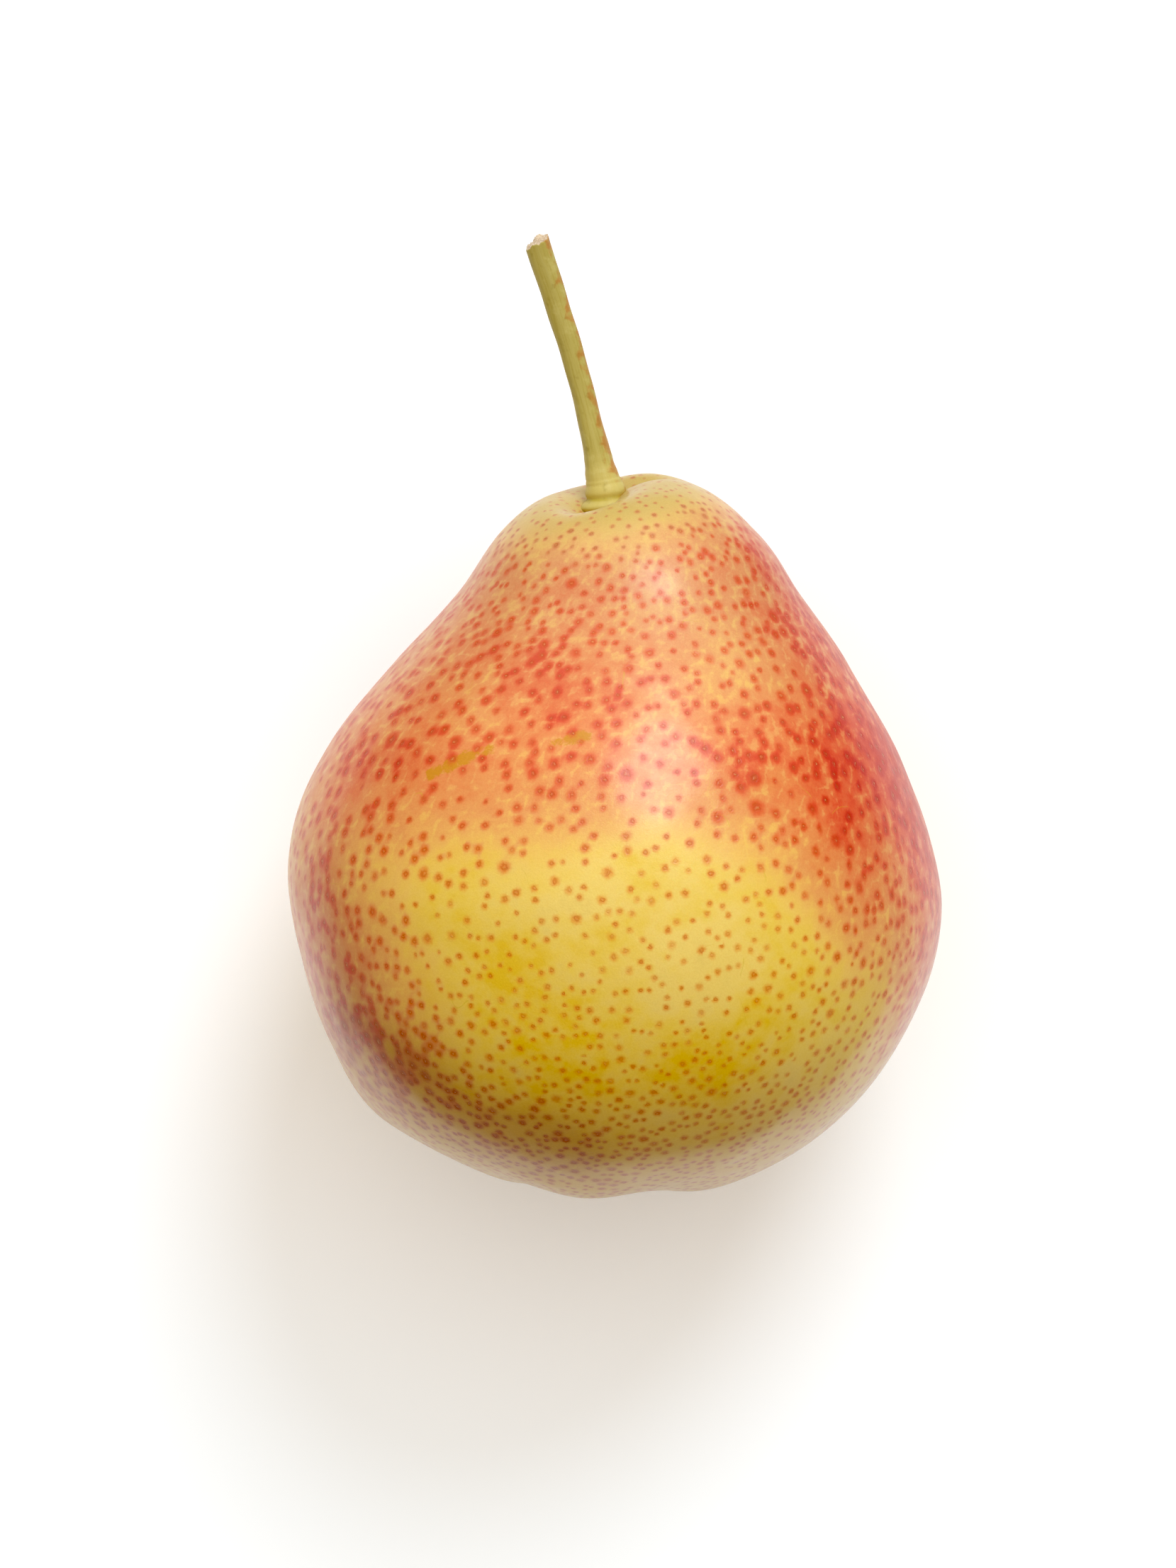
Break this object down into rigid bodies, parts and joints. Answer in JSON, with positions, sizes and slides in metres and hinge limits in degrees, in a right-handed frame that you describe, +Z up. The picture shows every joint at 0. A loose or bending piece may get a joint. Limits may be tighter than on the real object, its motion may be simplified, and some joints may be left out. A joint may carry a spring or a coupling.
{
  "type": "pear",
  "caption": "Ripe dessert pear lying on its side: round belly, short neck, curved woody stem and a dried calyx in a shallow basin.",
  "frame": {"origin": "the middle of the small flat spot that the pear rests on, under its centre of mass", "axes": "+Z up from the surface it lies on, +Y along the pear towards the stem, +X to the right when looked down on with the stem away from the viewer"},
  "size_m": [0.0663, 0.0961, 0.0658],
  "materials": {
    "skin": "smooth waxy pear skin, yellow with a red and pink blush on the neck and flanks, speckled all over with small pale-centred lenticels in red-brown rings",
    "stem": "fibrous olive-green stem with a brown side, a swollen wrinkled foot and a pale broken end",
    "dry_calyx": "dry, brittle, dark brown sepals, rim and stamens, matt and wrinkled"
  },
  "bodies": {
    "root": {"fruit": "skin", "stem": "stem", "calyx_cup": "dry_calyx", "sepal_1": "dry_calyx", "sepal_2": "dry_calyx", "sepal_3": "dry_calyx", "sepal_4": "dry_calyx", "sepal_5": "dry_calyx", "stamens": "dry_calyx"}
  },
  "joints": []
}
